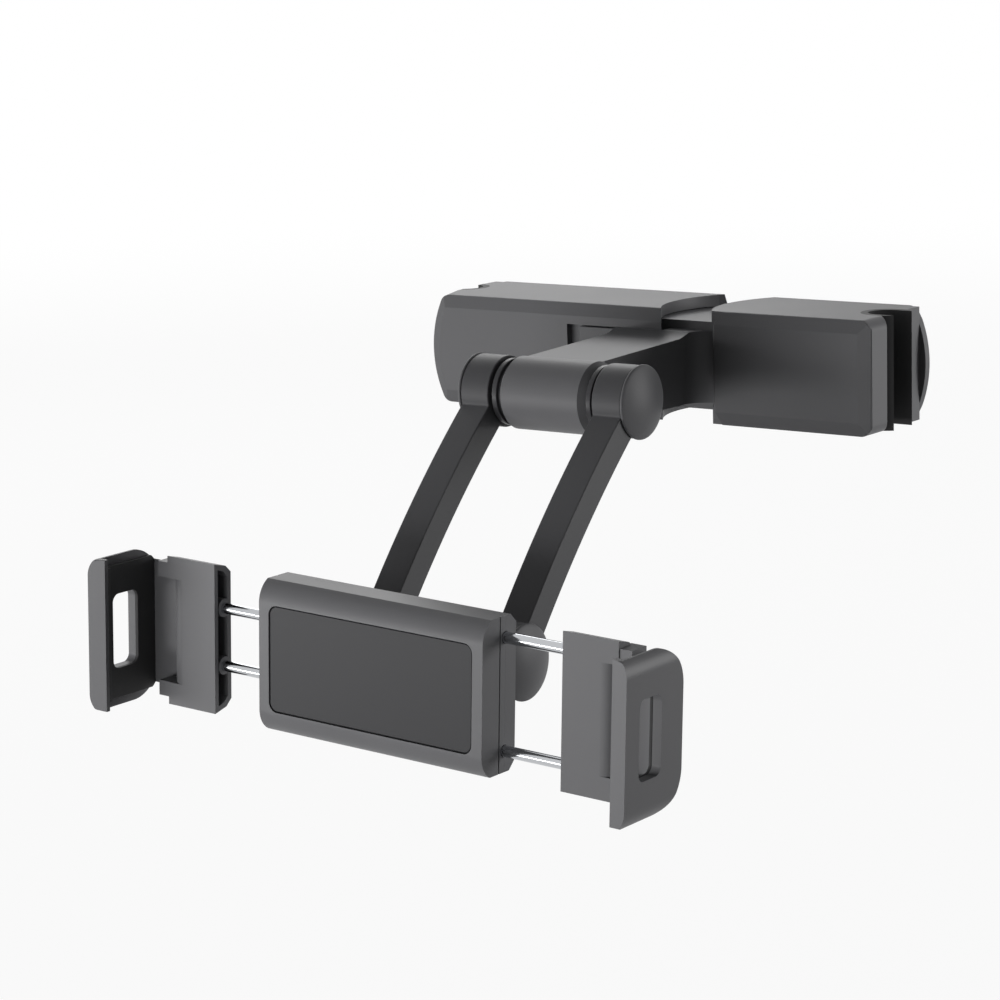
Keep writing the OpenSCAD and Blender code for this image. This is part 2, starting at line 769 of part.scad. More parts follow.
// Rear ring of the ball liner
module ball_ring() {
    color("#d8d8d4") translate([arm_x, ball_y, ball_z]) liner_zone(1.7, ring_top);
}

// Front cup of the ball liner
module ball_cup() {
    color("#d8d8d4") translate([arm_x, ball_y, ball_z]) liner_zone(-liner_out, 0);
}

// Puts the holder's own frame in place: seam plane at Y 0, ball axis at the origin
module at_holder() {
    translate([arm_x, ball_y - seam_to_ball, ball_z]) rotate([0, holder_turn, 0]) children();
}

// Collar nut that keeps the ball in its socket, with grip flutes
module collar_nut() {
    y0 = shell_rear + 0.3;
    y1 = seam_to_ball + collar_face;
    color("#3f3f3f") at_holder() difference() {
        rod_y(y0, y1, collar_r);
        rod_y(y0 - 1, seam_to_ball + 2, boss_r + 0.1);
        translate([0, seam_to_ball, 0]) sphere(socket_r);
        for (i = [0 : 11]) rotate([0, 30 * i, 0]) translate([collar_r + 1.1, 0, 0]) rod_y(y0 - 1, y1 + 1, 1.7);
    }
}

// Side view of the front shell in Y and Z, its front edges rounded by an arc
module front_profile(inset) {
    r = (edge_run * edge_run + edge_back * edge_back) / (2 * edge_back) - inset;
    y0 = -shell_front + inset;
    hz = body_hz - inset;
    flat_hz = body_hz - edge_run;
    intersection() {
        translate([y0, -hz]) square([-y0, 2 * hz]);
        union() {
            translate([y0, -flat_hz]) square([-y0 + 1, 2 * flat_hz]);
            translate([y0 + r, -hz - 1]) square([-y0 - r + 1, 2 * hz + 2]);
            for (s = [-1, 1]) translate([y0 + r, s * flat_hz]) circle(r);
        }
    }
}

// Side view of the rear shell in Y and Z with its cut rear corners
module rear_profile(inset) {
    hz = body_hz - inset;
    y1 = shell_rear - inset;
    cut = 3;
    polygon([[0, -hz], [y1 - cut, -hz], [y1, cut - hz], [y1, hz - cut], [y1 - cut, hz], [0, hz]]);
}

// Places of the screws that join the holder shells
holder_screw_x = [-36, -22, 22, 36];

// Holes of the four rods through the end walls
module rod_holes() {
    for (z = [-rod_outer, rod_outer]) translate([0, 0, z]) rod_x(0, half_w + 1, rod_hole_r);
    for (z = [-rod_inner, rod_inner]) translate([0, 0, z]) rod_x(-half_w - 1, 0, rod_hole_r);
}

// Front shell of the holder with the recess of the face plate
module holder_front_shell() {
    recess = plate_t + 0.3;
    color("#666666") at_holder() difference() {
        union() {
            difference() {
                along_x(-half_w, half_w) front_profile(0);
                along_x(-half_w + shell_wall, half_w - shell_wall) front_profile(shell_wall + recess - 0.2);
                along_x(-half_w + shell_wall, half_w - shell_wall) translate([-2, shell_wall - body_hz])
                    square([3, body_h - 2 * shell_wall]);
            }
            for (x = holder_screw_x) translate([x, 0, 0]) rod_y(-shell_front + 3, 0, 2.7);
        }
        along_y(-shell_front - 1, -shell_front + recess)
            round_rect([-plate_w / 2 - 0.3, -plate_h / 2 - 0.3], [plate_w / 2 + 0.3, plate_h / 2 + 0.3], 3.3);
        for (x = holder_screw_x) translate([x, 0, 0]) rod_y(-8, 1, screw_r);
        rod_holes();
        for (s = [-1, 1]) along_x(s * half_w - 0.4, s * half_w + 0.4)
            translate([-3.2, -body_hz - 1]) square([0.5, body_h + 2]);
    }
}

// Rear shell of the holder with the ball socket
module holder_rear_shell() {
    color("#5f5f5f") at_holder() difference() {
        union() {
            difference() {
                along_x(-half_w, half_w) rear_profile(0);
                along_x(-half_w + shell_wall, half_w - shell_wall) translate([-1, shell_wall - body_hz])
                    square([shell_rear - shell_wall + 1, body_h - 2 * shell_wall]);
            }
            rod_y(2.8, seam_to_ball + 1.8, boss_r);
            for (x = holder_screw_x) translate([x, 0, 0]) rod_y(0, shell_rear - 1, 2.7);
        }
        translate([0, seam_to_ball, 0]) sphere(socket_r);
        rod_y(seam_to_ball, seam_to_ball + 4, socket_r);
        for (x = holder_screw_x) translate([x, 0, 0]) {
            rod_y(-1, shell_rear, screw_r + 0.1);
            rod_y(shell_rear - screw_head_h, shell_rear + 1, screw_head_r);
        }
        rod_holes();
    }
}

// Flat face plate in the front of the holder, left bare
module face_plate() {
    color("#474747") at_holder() along_y(-shell_front + 0.3, -shell_front + 0.3 + plate_t)
        round_rect([-plate_w / 2, -plate_h / 2], [plate_w / 2, plate_h / 2], 3);
}

// Screws that join the holder shells from behind
module holder_screws() {
    color("#2a2a2c") at_holder() for (x = holder_screw_x)
        translate([x, shell_rear - screw_head_h, 0]) screw(9);
}

// Pair of chrome rods on the right side of the holder's frame
module rod_pair(z_off) {
    for (z = [-z_off, z_off]) translate([0, 0, z]) rod_x(rod_in_x, jaw_x0 + rod_grip, rod_r);
}

// Retaining clips at the inner ends of a pair of rods
module clip_pair(z_off) {
    for (z = [-z_off, z_off]) translate([rod_in_x + 0.8, 0, z]) difference() {
        rod_x(0, 0.8, 2.7);
        rod_x(-1, 2, rod_r);
    }
}

// Return springs on a pair of rods, from the clips to the end wall
module spring_pair(z_off) {
    for (z = [-z_off, z_off]) translate([0, 0, z])
        coil(rod_in_x + 1.9, half_w - shell_wall - 0.3, spring_r, spring_wire);
}

// Rods of the right jaw, the outer pair
module right_rods() {
    color("#f2f2f2") at_holder() rod_pair(rod_outer);
}

// Rods of the left jaw, the inner pair
module left_rods() {
    color("#f2f2f2") at_holder() mirror([1, 0, 0]) rod_pair(rod_inner);
}

// Clips of the right rods
module right_rod_clips() {
    color("#8d8f92") at_holder() clip_pair(rod_outer);
}

// Clips of the left rods
module left_rod_clips() {
    color("#8d8f92") at_holder() mirror([1, 0, 0]) clip_pair(rod_inner);
}

// Springs of the right jaw
module right_jaw_springs() {
    color("#c4c6c8") at_holder() spring_pair(rod_outer);
}

// Springs of the left jaw
module left_jaw_springs() {
    color("#c4c6c8") at_holder() mirror([1, 0, 0]) spring_pair(rod_inner);
}

// Plan of the hook of a jaw in X and Y: outer wall, slanted front lip and rear wall
module hook_plan() {
    x0 = jaw_x0 + jaw_plate_w - 4;
    polygon([[x0, jaw_aft], [jaw_x1, jaw_aft], [jaw_x1, -jaw_fore], [jaw_x1 - lip_w, -jaw_fore + lip_slant],
        [jaw_x1 - lip_w, lip_back_y], [jaw_x1 - jaw_wall, lip_back_y],
        [jaw_x1 - jaw_wall, jaw_aft - jaw_wall], [x0, jaw_aft - jaw_wall]]);
}

// Side view of a jaw in Y and Z with its large rear rounds
module hook_side() {
    r_rear = 13;
    r_front = 2;
    for (s = [0, 1]) mirror([0, s]) {
        translate([-jaw_fore, 0]) square([jaw_fore + jaw_aft - r_rear, jaw_hz - r_front]);
        translate([-jaw_fore + r_front, 0]) square([jaw_fore + jaw_aft - r_rear - r_front, jaw_hz]);
        translate([-jaw_fore + r_front, jaw_hz - r_front]) circle(r_front);
        translate([-jaw_fore, 0]) square([jaw_fore + jaw_aft, jaw_hz - r_rear]);
        translate([jaw_aft - r_rear, jaw_hz - r_rear]) circle(r_rear);
    }
}

// Front view of the hook in X and Z, its outer corners taken off by an arc
module hook_front() {
    cut_x = 2.4;
    cut_z = 5.6;
    r = (cut_x * cut_x + cut_z * cut_z) / (2 * cut_x);
    x0 = jaw_x0 + jaw_plate_w - 5;
    intersection() {
        translate([x0, -jaw_hz]) square([jaw_x1 + 1 - x0, 2 * jaw_hz]);
        union() {
            translate([x0 - 1, cut_z - jaw_hz]) square([jaw_x1 + 1 - x0, 2 * jaw_hz - 2 * cut_z]);
            translate([x0 - 1, -jaw_hz - 1]) square([jaw_x1 + 1 - x0 - r, 2 * jaw_hz + 2]);
            for (s = [-1, 1]) translate([jaw_x1 - r, s * (jaw_hz - cut_z)]) circle(r);
        }
    }
}

// Finger window in the outer wall of a jaw
module jaw_window(x0, x1) {
    along_x(x0, x1) round_rect([-18.6, -12.8], [-6.4, 12.8], 2.8);
}

// One jaw on the right side of the holder's frame, for rods at the given height
module jaw(z_off) {
    px0 = jaw_x0;
    px1 = jaw_x0 + jaw_plate_w;
    pz = jaw_hz - 0.4;
    depth = 13;
    saddle_r = 6.6;
    difference() {
        union() {
            along_x(px0, px1) polygon([[jaw_plate_y0, -pz], [jaw_plate_y1 - 2.6, 1.4 - pz],
                [jaw_plate_y1, 3.8 - pz], [jaw_plate_y1, pz - 3.8], [jaw_plate_y1 - 2.6, pz - 1.4],
                [jaw_plate_y0, pz]]);
            intersection() {
                along_z(-jaw_hz - 1, jaw_hz + 1) hook_plan();
                along_x(px0, jaw_x1 + 1) hook_side();
                along_y(-jaw_fore - 1, jaw_aft + 1) hook_front();
            }
            for (s = [0, 1]) mirror([0, 0, s])
                box([px1 - 1, jaw_plate_y0 + 0.4, 18], [px1 + 4.6, jaw_aft - jaw_wall + 1, pz - 2.4]);
        }
        along_z(-18, 18) translate([px1 - saddle_r, jaw_plate_y0 + saddle_r]) difference() {
            translate([0, -saddle_r - 1]) square([saddle_r + 8, saddle_r + 1]);
            circle(saddle_r);
        }
        difference() {
            along_x(px0 - 1, px0 + depth) polygon([[jaw_plate_y0 + 1.7, 2.2 - pz], [jaw_plate_y1 - 3.6, 3.2 - pz],
                [jaw_plate_y1 - 1.7, 5.2 - pz], [jaw_plate_y1 - 1.7, pz - 5.2], [jaw_plate_y1 - 3.6, pz - 3.2],
                [jaw_plate_y0 + 1.7, pz - 2.2]]);
            for (z = [-z_off, z_off]) translate([0, 0, z]) rod_x(px0, px0 + depth + 1, 3.1);
        }
        for (z = [-z_off, z_off]) translate([0, 0, z]) rod_x(px0 - 1, px0 + rod_grip, rod_r);
        jaw_window(jaw_x1 - jaw_wall - 1, jaw_x1 + 1);
    }
}

// Right jaw
module right_jaw() {
    color("#616161") at_holder() jaw(rod_outer);
}

// Left jaw
module left_jaw() {
    color("#616161") at_holder() mirror([1, 0, 0]) jaw(rod_inner);
}

// Rubber liner on the inside of the outer wall and of the lip of a jaw
module jaw_liner() {
    x1 = jaw_x1 - jaw_wall;
    y0 = lip_back_y;
    y1 = jaw_aft - jaw_wall;
    difference() {
        intersection() {
            union() {
                box([x1 - jaw_pad_t, y0, -jaw_hz + 3], [x1, y1, jaw_hz - 3]);
                box([jaw_x1 - lip_w, y0, -jaw_hz + 3], [x1, y0 + jaw_pad_t, jaw_hz - 3]);
            }
            along_x(0, jaw_x1) hook_side();
        }
        jaw_window(x1 - jaw_pad_t - 1, x1 + 1);
    }
}

// Liner of the right jaw
module right_jaw_liner() {
    color("#161616") at_holder() jaw_liner();
}

// Liner of the left jaw
module left_jaw_liner() {
    color("#161616") at_holder() mirror([1, 0, 0]) jaw_liner();
}

left_front_cover();
left_housing();
left_rear_cover();
left_post_liner();
left_cover_screws();
core_rail();
core_screws();
release_slider();
brake_shoe();
slider_spring();
right_front_cover();
right_housing();
right_rear_cover();
right_post_liner();
right_cover_screws();
slide_rail();
arm();
arm_screws();
upper_washers();
left_link();
right_link();
upper_axle();
lower_axle();
upper_caps();
lower_caps();
tilt_block();
lower_washers();
ball_stud();
ball_ring();
ball_cup();
collar_nut();
holder_front_shell();
holder_rear_shell();
face_plate();
holder_screws();
left_rods();
right_rods();
left_rod_clips();
right_rod_clips();
left_jaw_springs();
right_jaw_springs();
left_jaw();
right_jaw();
left_jaw_liner();
right_jaw_liner();
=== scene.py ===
"""Looks of the headrest tablet mount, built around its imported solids."""

import json
import math

import bmesh
import bpy
from mathutils import Matrix, Vector


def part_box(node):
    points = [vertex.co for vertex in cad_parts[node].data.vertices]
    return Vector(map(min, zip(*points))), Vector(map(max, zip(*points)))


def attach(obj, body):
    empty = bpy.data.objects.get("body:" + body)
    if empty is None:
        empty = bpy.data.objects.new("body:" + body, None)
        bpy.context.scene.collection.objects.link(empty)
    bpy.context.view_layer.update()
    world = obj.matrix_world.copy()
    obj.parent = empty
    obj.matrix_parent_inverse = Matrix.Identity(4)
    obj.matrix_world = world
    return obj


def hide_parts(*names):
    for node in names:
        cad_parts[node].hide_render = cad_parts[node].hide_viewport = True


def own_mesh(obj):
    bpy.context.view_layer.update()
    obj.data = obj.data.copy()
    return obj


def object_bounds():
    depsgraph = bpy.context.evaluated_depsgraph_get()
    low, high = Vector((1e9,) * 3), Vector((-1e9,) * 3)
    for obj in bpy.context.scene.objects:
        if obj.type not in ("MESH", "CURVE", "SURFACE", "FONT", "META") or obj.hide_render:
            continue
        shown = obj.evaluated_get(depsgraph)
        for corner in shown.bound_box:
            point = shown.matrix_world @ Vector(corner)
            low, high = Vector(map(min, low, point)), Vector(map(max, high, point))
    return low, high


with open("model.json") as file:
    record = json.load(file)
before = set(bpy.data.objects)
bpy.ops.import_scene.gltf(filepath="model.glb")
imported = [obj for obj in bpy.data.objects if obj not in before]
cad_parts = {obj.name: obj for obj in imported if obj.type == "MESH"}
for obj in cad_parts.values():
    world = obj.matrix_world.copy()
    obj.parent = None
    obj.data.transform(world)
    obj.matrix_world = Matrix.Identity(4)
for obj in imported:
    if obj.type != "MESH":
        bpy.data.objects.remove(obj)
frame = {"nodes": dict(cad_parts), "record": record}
cad_box = [list(corner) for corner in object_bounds()]
nodes = frame["nodes"]
record = frame["record"]
slot_of = {part["node"]: part["material_slot"] for part in record["subparts"]}
joints = {joint["name"]: joint for joint in record["behaviour"]["joints"]}
body_of = {}
for body, members in record["behaviour"]["bodies"].items():
    for member in members:
        body_of[member] = body
MM = 0.001


# Shader graphs written as plain arithmetic


class Signal:
    """One value inside a shader graph."""

    def __init__(self, graph, socket):
        self.graph = graph
        self.socket = socket

    def __add__(self, other):
        return self.graph.maths("ADD", self, other)

    def __radd__(self, other):
        return self.graph.maths("ADD", other, self)

    def __sub__(self, other):
        return self.graph.maths("SUBTRACT", self, other)

    def __rsub__(self, other):
        return self.graph.maths("SUBTRACT", other, self)

    def __mul__(self, other):
        return self.graph.maths("MULTIPLY", self, other)

    def __rmul__(self, other):
        return self.graph.maths("MULTIPLY", other, self)

    def above(self, edge, soft):
        """0 below the edge and 1 above it, with a soft step."""
        settings = {"interpolation_type": "SMOOTHSTEP"}
        inputs = {"Value": self, "From Min": edge - soft, "From Max": edge + soft}
        return Signal(self.graph, self.graph.node("MapRange", settings, inputs).outputs[0])


class Graph:
    """The node tree of one material."""

    # Places of the share, the two colours and the result on a Mix node
    mix_share, mix_first, mix_second, mix_result = 0, 6, 7, 2

    def __init__(self, name):
        self.material = bpy.data.materials.new(name)
        self.material.use_nodes = True
        self.tree = self.material.node_tree
        self.shader = self.tree.nodes["Principled BSDF"]
        self.object_place = self.node("TexCoord").outputs["Object"]

    def node(self, kind, settings=None, inputs=None):
        made = self.tree.nodes.new("ShaderNode" + kind)
        for key, value in (settings or {}).items():
            setattr(made, key, value)
        for key, value in (inputs or {}).items():
            self.feed(made.inputs[key], value)
        return made

    def feed(self, socket, value):
        if isinstance(value, Signal):
            self.tree.links.new(value.socket, socket)
        elif isinstance(value, bpy.types.NodeSocket):
            self.tree.links.new(value, socket)
        else:
            socket.default_value = value

    def maths(self, operation, first, second):
        made = self.node("Math", {"operation": operation})
        self.feed(made.inputs[0], first)
        self.feed(made.inputs[1], second)
        return Signal(self, made.outputs[0])

    def noise(self, per_metre, detail=2.0, stretch=(1.0, 1.0, 1.0)):
        """Soft random pattern in the object's own space, between 0 and 1."""
        place = self.node("VectorMath", {"operation": "MULTIPLY"})
        self.feed(place.inputs[0], self.object_place)
        place.inputs[1].default_value = stretch
        inputs = {"Vector": place.outputs[0], "Scale": per_metre, "Detail": detail}
        return Signal(self, self.node("TexNoise", {}, inputs).outputs[0])

    def cells(self, per_metre):
        """Distance to the nearest of many scattered points."""
        inputs = {"Vector": self.object_place, "Scale": per_metre}
        return Signal(self, self.node("TexVoronoi", {}, inputs).outputs["Distance"])

    def blend(self, share, first, second):
        """Colour between two colours, by share."""
        made = self.node("Mix", {"data_type": "RGBA"})
        self.feed(made.inputs[self.mix_share], share)
        self.feed(made.inputs[self.mix_first], first)
        self.feed(made.inputs[self.mix_second], second)
        return made.outputs[self.mix_result]

    def bump(self, height, strength, distance):
        inputs = {"Strength": strength, "Distance": distance, "Height": height}
        return self.node("Bump", {}, inputs).outputs[0]

    def finish(self, colour, roughness, normal=None, metallic=0.0, specular=0.5):
        """The material, from its colour and gloss and the constants of its shader."""
        self.feed(self.shader.inputs["Base Color"], colour)
        self.feed(self.shader.inputs["Roughness"], roughness)
        self.shader.inputs["Metallic"].default_value = metallic
        self.shader.inputs["Specular IOR Level"].default_value = specular
        if normal is not None:
            self.feed(self.shader.inputs["Normal"], normal)
        return self.material


def linear(code):
    """Colour written as six hexadecimal digits, as linear light."""
    parts = [int(code[start : start + 2], 16) / 255 for start in (0, 2, 4)]
    light = [part / 12.92 if part < 0.04045 else ((part + 0.055) / 1.055) ** 2.4 for part in parts]
    return light + [1.0]


def shade(colour, factor):
    """The same colour, lighter or darker."""
    return [min(1.0, part * factor) for part in colour[:3]] + [1.0]


# Finishes of the mount


def moulded_plastic(name, code, roughness=0.45, grain=0.1):
    """Injection moulded plastic with a fine spark eroded grain and faint flow clouds."""
    graph = Graph(name)
    colour = linear(code)
    clouds = graph.noise(per_metre=28, detail=3.0)
    flow = graph.noise(per_metre=90, stretch=(1.0, 1.0, 0.35))
    speck = graph.noise(per_metre=2600)
    tone = clouds * 0.55 + flow * 0.25 + speck * 0.2
    paint = graph.blend(tone, shade(colour, 0.9), shade(colour, 1.1))
    rough = roughness - 0.04 + clouds * 0.05 + speck * 0.04
    pits = graph.cells(per_metre=2100) * 0.6 + speck * 0.4
    normal = graph.bump(pits, strength=grain, distance=0.00006)
    return graph.finish(paint, rough, normal, specular=0.17)


def satin_panel(name, code):
    """Flat plate with a finer and smoother face than the shells round it."""
    graph = Graph(name)
    colour = linear(code)
    clouds = graph.noise(per_metre=22)
    speck = graph.noise(per_metre=4200)
    tone = clouds * 0.7 + speck * 0.3
    paint = graph.blend(tone, shade(colour, 0.94), shade(colour, 1.06))
    rough = 0.38 + clouds * 0.05 + speck * 0.05
    normal = graph.bump(speck, strength=0.05, distance=0.00004)
    return graph.finish(paint, rough, normal, specular=0.15)


def soft_rubber(name, code):
    """Matt rubber with a fine crazed skin and a trace of dust."""
    graph = Graph(name)
    colour = linear(code)
    skin = graph.cells(per_metre=1500)
    dust = graph.noise(per_metre=160, detail=4.0)
    dusty = dust.above(edge=0.62, soft=0.12) * 0.5
    paint = graph.blend(dusty, colour, shade(colour, 1.9))
    rough = 0.62 + dust * 0.12 - skin * 0.05
    height = skin * 0.7 + graph.noise(per_metre=900) * 0.3
    normal = graph.bump(height, strength=0.18, distance=0.00008)
    return graph.finish(paint, rough, normal, specular=0.35)


def bright_chrome(name):
    """Chrome plated rod with hair fine drawing marks along its length."""
    graph = Graph(name)
    marks = graph.noise(per_metre=1400, stretch=(0.02, 1.0, 1.0))
    haze = graph.noise(per_metre=60)
    paint = graph.blend(haze, linear("c4c6c9"), linear("b6b8bb"))
    rough = 0.09 + marks * 0.05 + haze * 0.03
    normal = graph.bump(marks, strength=0.01, distance=0.00002)
    return graph.finish(paint, rough, normal, metallic=1.0)


def plain_steel(name):
    """Turned steel with fine tool marks."""
    graph = Graph(name)
    marks = graph.noise(per_metre=2400, stretch=(1.0, 0.05, 1.0))
    cloud = graph.noise(per_metre=130, detail=3.0)
    colour = linear("a6a8ab")
    paint = graph.blend(cloud, shade(colour, 0.85), shade(colour, 1.08))
    rough = 0.28 + marks * 0.14 + cloud * 0.06
    normal = graph.bump(marks, strength=0.08, distance=0.00003)
    return graph.finish(paint, rough, normal, metallic=1.0)


def black_oxide(name):
    """Blackened screw steel, slightly oily."""
    graph = Graph(name)
    cloud = graph.noise(per_metre=500, detail=3.0)
    paint = graph.blend(cloud, linear("1b1b1d"), linear("303034"))
    rough = 0.36 + cloud * 0.16
    normal = graph.bump(cloud, strength=0.06, distance=0.00003)
    return graph.finish(paint, rough, normal, metallic=0.8)


def natural_nylon(name):
    """Pale nylon of the ball liner."""
    graph = Graph(name)
    cloud = graph.noise(per_metre=210, detail=3.0)
    paint = graph.blend(cloud, linear("cfcfca"), linear("dededa"))
    rough = 0.4 + cloud * 0.1
    normal = graph.bump(cloud, strength=0.05, distance=0.00004)
    return graph.finish(paint, rough, normal)


slot_material = {
    "cover_grey": moulded_plastic("cover_grey", "5f5f61"),
    "housing_grey": moulded_plastic("housing_grey", "666668"),
    "link_dark": moulded_plastic("link_dark", "48484a"),
    "holder_grey": moulded_plastic("holder_grey", "666668", roughness=0.4),
    "plate_dark": satin_panel("plate_dark", "303032"),
    "slider_dark": moulded_plastic("slider_dark", "5a5a5c"),
    "washer_dark": moulded_plastic("washer_dark", "3c3c3e", roughness=0.36, grain=0.06),
    "liner_white": natural_nylon("liner_white"),
    "rubber_black": soft_rubber("rubber_black", "141415"),
    "rod_chrome": bright_chrome("rod_chrome"),
    "steel": plain_steel("steel"),
    "screw_black": black_oxide("screw_black"),
}


# Moulded edges: small rounds on the corners of the outer pieces

# Width of each piece's rounds in millimetres
edge_width = {
    "left_front_cover": 0.25,
    "left_housing": 0.45,
    "left_rear_cover": 0.35,
    "core_rail": 0.5,
    "release_slider": 0.35,
    "right_front_cover": 0.3,
    "right_housing": 0.45,
    "right_rear_cover": 0.4,
    "arm": 0.5,
    "left_link": 0.45,
    "right_link": 0.45,
    "upper_caps": 0.4,
    "lower_caps": 0.4,
    "upper_washers": 0.3,
    "lower_washers": 0.3,
    "tilt_block": 0.4,
    "holder_front_shell": 0.35,
    "holder_rear_shell": 0.4,
    "face_plate": 0.3,
    "collar_nut": 0.35,
    "left_jaw": 0.4,
    "right_jaw": 0.4,
    "left_post_liner": 0.4,
    "right_post_liner": 0.4,
    "left_jaw_liner": 0.25,
    "right_jaw_liner": 0.25,
    "left_rods": 0.3,
    "right_rods": 0.3,
}
round_segments = 2
# Faces that meet at less than the first angle become one, and edges past the second get a round
flat_angle = math.radians(0.6)
least_round_angle = math.radians(11.0)
# Edges past this angle stay sharp in the smooth shading
sharp_angle = math.radians(40)
flat_face_weight = 60
weld_distance = 0.000002

# Rear covers whose screws sit so near the edge that the counterbores need an outer wall
cover_screws = {
    "left_rear_cover": "left_cover_screws",
    "right_rear_cover": "right_cover_screws",
}
screw_head_height = 0.0016
cover_head_radius = 0.0020
counterbore_wall = 0.00045
counterbore_wall_reach = 0.0021

dressed_nodes = set()


def welded(node):
    """The shape of a CAD node with its loose triangles joined."""
    shape = bmesh.new()
    shape.from_mesh(nodes[node].data)
    bmesh.ops.remove_doubles(shape, verts=shape.verts, dist=weld_distance)
    return shape


def object_from(shape, name):
    """Object in the scene that takes over a shape in work."""
    mesh = bpy.data.meshes.new(name)
    shape.to_mesh(mesh)
    shape.free()
    made = bpy.data.objects.new(name, mesh)
    bpy.context.scene.collection.objects.link(made)
    return made


def dress(mesh, name, node):
    """Object from a mesh that stands for a CAD node, with the finish of its slot."""
    slot = slot_of[node]
    mesh.materials.clear()
    mesh.materials.append(slot_material[slot])
    mesh.shade_smooth()
    mesh.set_sharp_from_angle(angle=sharp_angle)
    piece = bpy.data.objects.new(name, mesh)
    bpy.context.scene.collection.objects.link(piece)
    flat_faces = piece.modifiers.new("flat_faces", "WEIGHTED_NORMAL")
    flat_faces.keep_sharp = True
    flat_faces.weight = flat_face_weight
    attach(piece, body_of[node])
    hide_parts(node)
    dressed_nodes.add(node)
    return piece


def islands(node):
    """Lowest and highest corner of each separate solid of a CAD node, from left to right."""
    shape = welded(node)
    found = []
    waiting = set(shape.verts)
    while waiting:
        group = [waiting.pop()]
        low = group[0].co.copy()
        high = group[0].co.copy()
        while group:
            vert = group.pop()
            low = Vector(map(min, low, vert.co))
            high = Vector(map(max, high, vert.co))
            for edge in vert.link_edges:
                other = edge.other_vert(vert)
                if other in waiting:
                    waiting.remove(other)
                    group.append(other)
        found.append((low, high))
    shape.free()
    return sorted(found, key=lambda pair: (round(pair[0].x, 4), round(pair[0].z, 4)))


def counterbore_walls(node, screw_node):
    """Boxes along the top and bottom edge of a rear cover, one beside each counterbore."""
    cover_low, cover_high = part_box(node)
    walls = bmesh.new()
    for low, high in islands(screw_node):
        if high.z > 0:
            bottom, top = cover_high[2] - counterbore_wall, cover_high[2]
        else:
            bottom, top = cover_low[2], cover_low[2] + counterbore_wall
        corners = bmesh.ops.create_cube(walls, size=1.0)["verts"]
        size = Vector((2 * counterbore_wall_reach, screw_head_height, top - bottom))
        bmesh.ops.scale(walls, verts=corners, vec=size)
        middle_y = high.y - screw_head_height / 2
        middle = Vector(((low.x + high.x) / 2, middle_y, (bottom + top) / 2))
        bmesh.ops.translate(walls, verts=corners, vec=middle)
    return walls


def walled_counterbores(node, screw_node):
    """Rear cover with a thin wall beside each counterbore at its top and bottom edge."""
    wall_object = object_from(counterbore_walls(node, screw_node), node + "_walls")
    cover_object = object_from(welded(node), node + "_closed")
    union = cover_object.modifiers.new("walls", "BOOLEAN")
    union.operation = "UNION"
    union.solver = "EXACT"
    union.object = wall_object
    evaluated = cover_object.evaluated_get(bpy.context.evaluated_depsgraph_get())
    closed = bmesh.new()
    closed.from_mesh(evaluated.data)
    bpy.data.objects.remove(cover_object)
    bpy.data.objects.remove(wall_object)
    bmesh.ops.remove_doubles(closed, verts=closed.verts, dist=weld_distance)
    return closed


def edge_softened(node, width):
    """Copy of a CAD solid with rounded edges, riding on the same body."""
    if node in cover_screws:
        shape = walled_counterbores(node, cover_screws[node])
    else:
        shape = welded(node)
    bmesh.ops.dissolve_degenerate(shape, edges=shape.edges, dist=weld_distance)
    bmesh.ops.dissolve_limit(shape, angle_limit=flat_angle, verts=shape.verts, edges=shape.edges)
    shape.normal_update()
    closed_edges = [edge for edge in shape.edges if len(edge.link_faces) == 2]
    bmesh.ops.bevel(
        shape,
        geom=[edge for edge in closed_edges if edge.calc_face_angle(0) > least_round_angle],
        offset=width * MM,
        offset_type="OFFSET",
        segments=round_segments,
        profile=0.5,
        affect="EDGES",
        clamp_overlap=True,
    )
    bmesh.ops.recalc_face_normals(shape, faces=shape.faces)
    mesh = bpy.data.meshes.new(node + "_dressed")
    shape.to_mesh(mesh)
    shape.free()
    dress(mesh, node + "_dressed", node)


# Screws and coil springs: one shape each, repeated by Geometry Nodes


